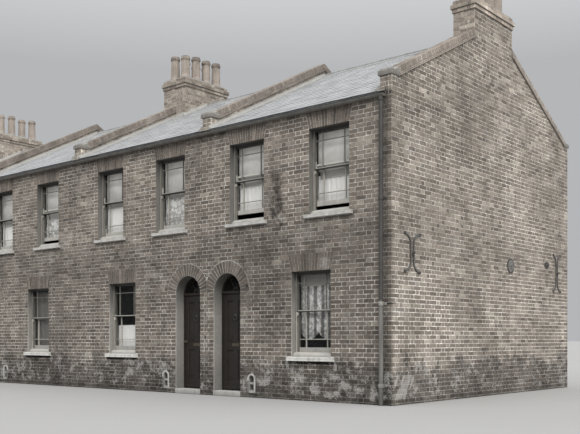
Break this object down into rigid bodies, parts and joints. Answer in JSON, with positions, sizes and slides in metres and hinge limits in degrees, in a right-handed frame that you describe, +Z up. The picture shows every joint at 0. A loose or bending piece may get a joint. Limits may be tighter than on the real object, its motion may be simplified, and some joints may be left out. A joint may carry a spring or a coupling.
{
  "type": "terraced house row",
  "caption": "Two-storey brick terraced house row with paired arched doorways, sash windows, slate roof, brick parapets between houses and end-gable chimney stacks.",
  "frame": {"origin": "on the ground, under the middle of the whole row", "axes": "+X along the street front, to the right when facing it; +Y from the street front to the back; +Z up"},
  "size_m": [17.256, 7.48, 8.3636],
  "materials": {
    "brickwork": "matte",
    "gauged_brickwork": "matte",
    "coping_brick": "matte",
    "stone": "matte",
    "clay_pot": "matte",
    "slate": "satin",
    "ridge_tile": "matte",
    "floor_boards": "matte",
    "sash_paint": "satin",
    "window_glass": "gloss",
    "curtain_cloth": "matte",
    "door_frame_paint": "satin",
    "door_paint": "satin",
    "painted_iron": "matte"
  },
  "bodies": {
    "row": {"front_wall_ground_piers": "brickwork", "front_wall_ground_panels": "brickwork", "front_door_arches": "gauged_brickwork", "front_wall_upper_piers": "brickwork", "front_wall_upper_panels": "brickwork", "back_wall_piers": "brickwork", "back_wall_panels": "brickwork", "gable_wall": "brickwork", "left_end_wall": "brickwork", "party_walls": "brickwork", "kneelers": "brickwork", "kneeler_caps": "stone", "parapet_creasing": "gauged_brickwork", "parapet_copings": "coping_brick", "chimney_stacks": "brickwork", "chimney_caps": "gauged_brickwork", "chimney_pots": "clay_pot", "front_roof_slopes": "slate", "back_roof_slopes": "slate", "ridge_tiles": "ridge_tile", "ground_floors": "floor_boards", "first_floors": "floor_boards", "window_sills": "stone", "window_frames": "sash_paint", "upper_sashes": "sash_paint", "lower_sashes": "sash_paint", "window_glass": "window_glass", "window_curtains": "curtain_cloth", "door_jambs": "door_frame_paint", "door_heads": "door_frame_paint", "door_stops": "door_frame_paint", "fanlight_glass": "window_glass", "doorsteps": "stone", "back_doors": "door_paint", "gutters": "painted_iron", "downpipes": "painted_iron", "downpipe_collars": "painted_iron", "wall_ties": "painted_iron", "scraper_surrounds": "stone", "boot_scrapers": "painted_iron"},
    "door_1": {"front_door_1": "door_paint"},
    "door_2": {"front_door_2": "door_paint"},
    "door_3": {"front_door_3": "door_paint"},
    "door_4": {"front_door_4": "door_paint"}
  },
  "joints": [
    {"name": "door_1_hinge", "type": "hinge", "parent": "row", "child": "door_1", "pos_m": [4.4205, -3.321, 1.05], "axis": [0, 0, 1], "range_deg": [0, 90]},
    {"name": "door_2_hinge", "type": "hinge", "parent": "row", "child": "door_2", "pos_m": [4.0395, -3.321, 1.05], "axis": [0, 0, -1], "range_deg": [0, 90]},
    {"name": "door_3_hinge", "type": "hinge", "parent": "row", "child": "door_3", "pos_m": [-4.0395, -3.321, 1.05], "axis": [0, 0, 1], "range_deg": [0, 90]},
    {"name": "door_4_hinge", "type": "hinge", "parent": "row", "child": "door_4", "pos_m": [-4.4205, -3.321, 1.05], "axis": [0, 0, -1], "range_deg": [0, 90]}
  ]
}
